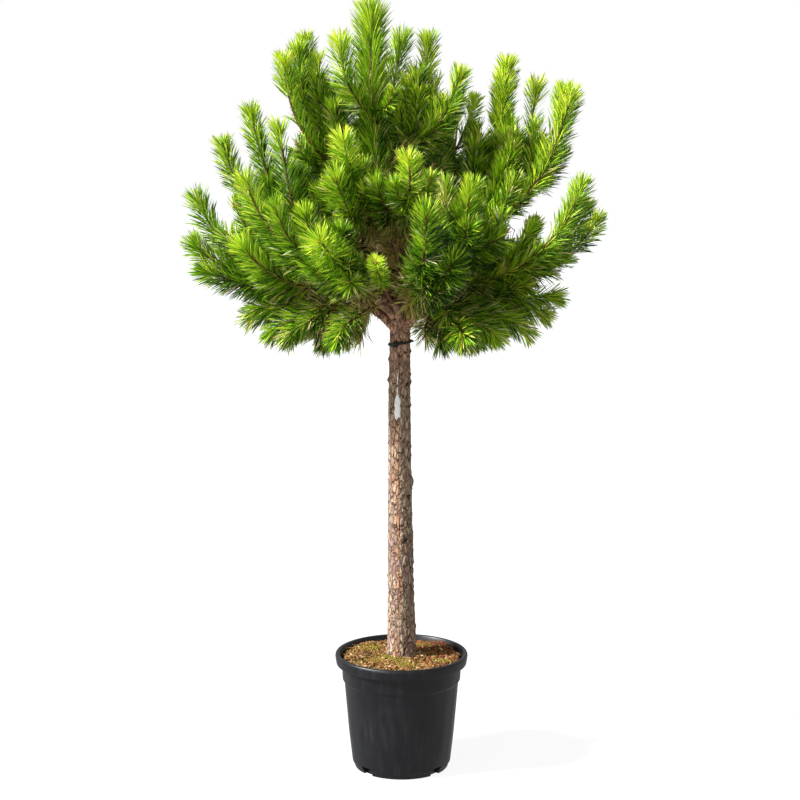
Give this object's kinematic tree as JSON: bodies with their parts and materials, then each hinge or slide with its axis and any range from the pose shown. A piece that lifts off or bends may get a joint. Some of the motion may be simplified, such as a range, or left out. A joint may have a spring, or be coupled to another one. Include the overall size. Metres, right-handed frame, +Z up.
{
  "type": "potted stone pine",
  "caption": "Young stone pine trained as a standard: clear bark trunk, wide crown of upswept needle plumes, standing in a round nursery pot of soil",
  "frame": {"origin": "middle of the pot's flat underside", "axes": "+Z up along the trunk, -Y towards the front of the tree, +X to its right seen from the front"},
  "size_m": [1.2249, 1.1444, 2.3],
  "materials": {
    "pot_plastic": "moulded black plastic with a dull sheen",
    "soil": "bark mulch and peat with moss",
    "bark": "flaky grey-brown plates, orange in the cracks",
    "needles": "waxy green needles, lime at the tips",
    "tie": "dark green tree tie",
    "resin": "dried white resin"
  },
  "bodies": {
    "root": {"pot": "pot_plastic", "soil": "soil", "trunk": "bark", "trunk_tie": "tie", "resin_streak": "resin", "bough_left_skirt": "bark", "bough_left_low": "bark", "bough_left_middle": "bark", "bough_left_front": "bark", "bough_left_high": "bark", "bough_front_left": "bark", "bough_front_skirt": "bark", "bough_centre_left": "bark", "bough_front_high": "bark", "bough_front_middle": "bark", "bough_front_small": "bark", "bough_right_crest": "bark", "bough_right_high": "bark", "bough_right_top": "bark", "bough_right_inner": "bark", "bough_right_middle": "bark", "bough_right_low": "bark", "bough_right_skirt": "bark", "bough_back_skirt": "bark", "bough_back_low_left": "bark", "bough_back_low": "bark", "bough_back_low_right": "bark", "bough_back_middle_left": "bark", "bough_back_middle_right": "bark", "bough_back_high": "bark", "foliage_top": "needles", "foliage_left_skirt": "needles", "foliage_left_low": "needles", "foliage_left_middle": "needles", "foliage_left_front": "needles", "foliage_left_high": "needles", "foliage_front_left": "needles", "foliage_front_skirt": "needles", "foliage_centre_left": "needles", "foliage_front_high": "needles", "foliage_front_middle": "needles", "foliage_front_small": "needles", "foliage_right_crest": "needles", "foliage_right_high": "needles", "foliage_right_top": "needles", "foliage_right_inner": "needles", "foliage_right_middle": "needles", "foliage_right_low": "needles", "foliage_right_skirt": "needles", "foliage_back_skirt": "needles", "foliage_back_low_left": "needles", "foliage_back_low": "needles", "foliage_back_low_right": "needles", "foliage_back_middle_left": "needles", "foliage_back_middle_right": "needles", "foliage_back_high": "needles"}
  },
  "joints": []
}
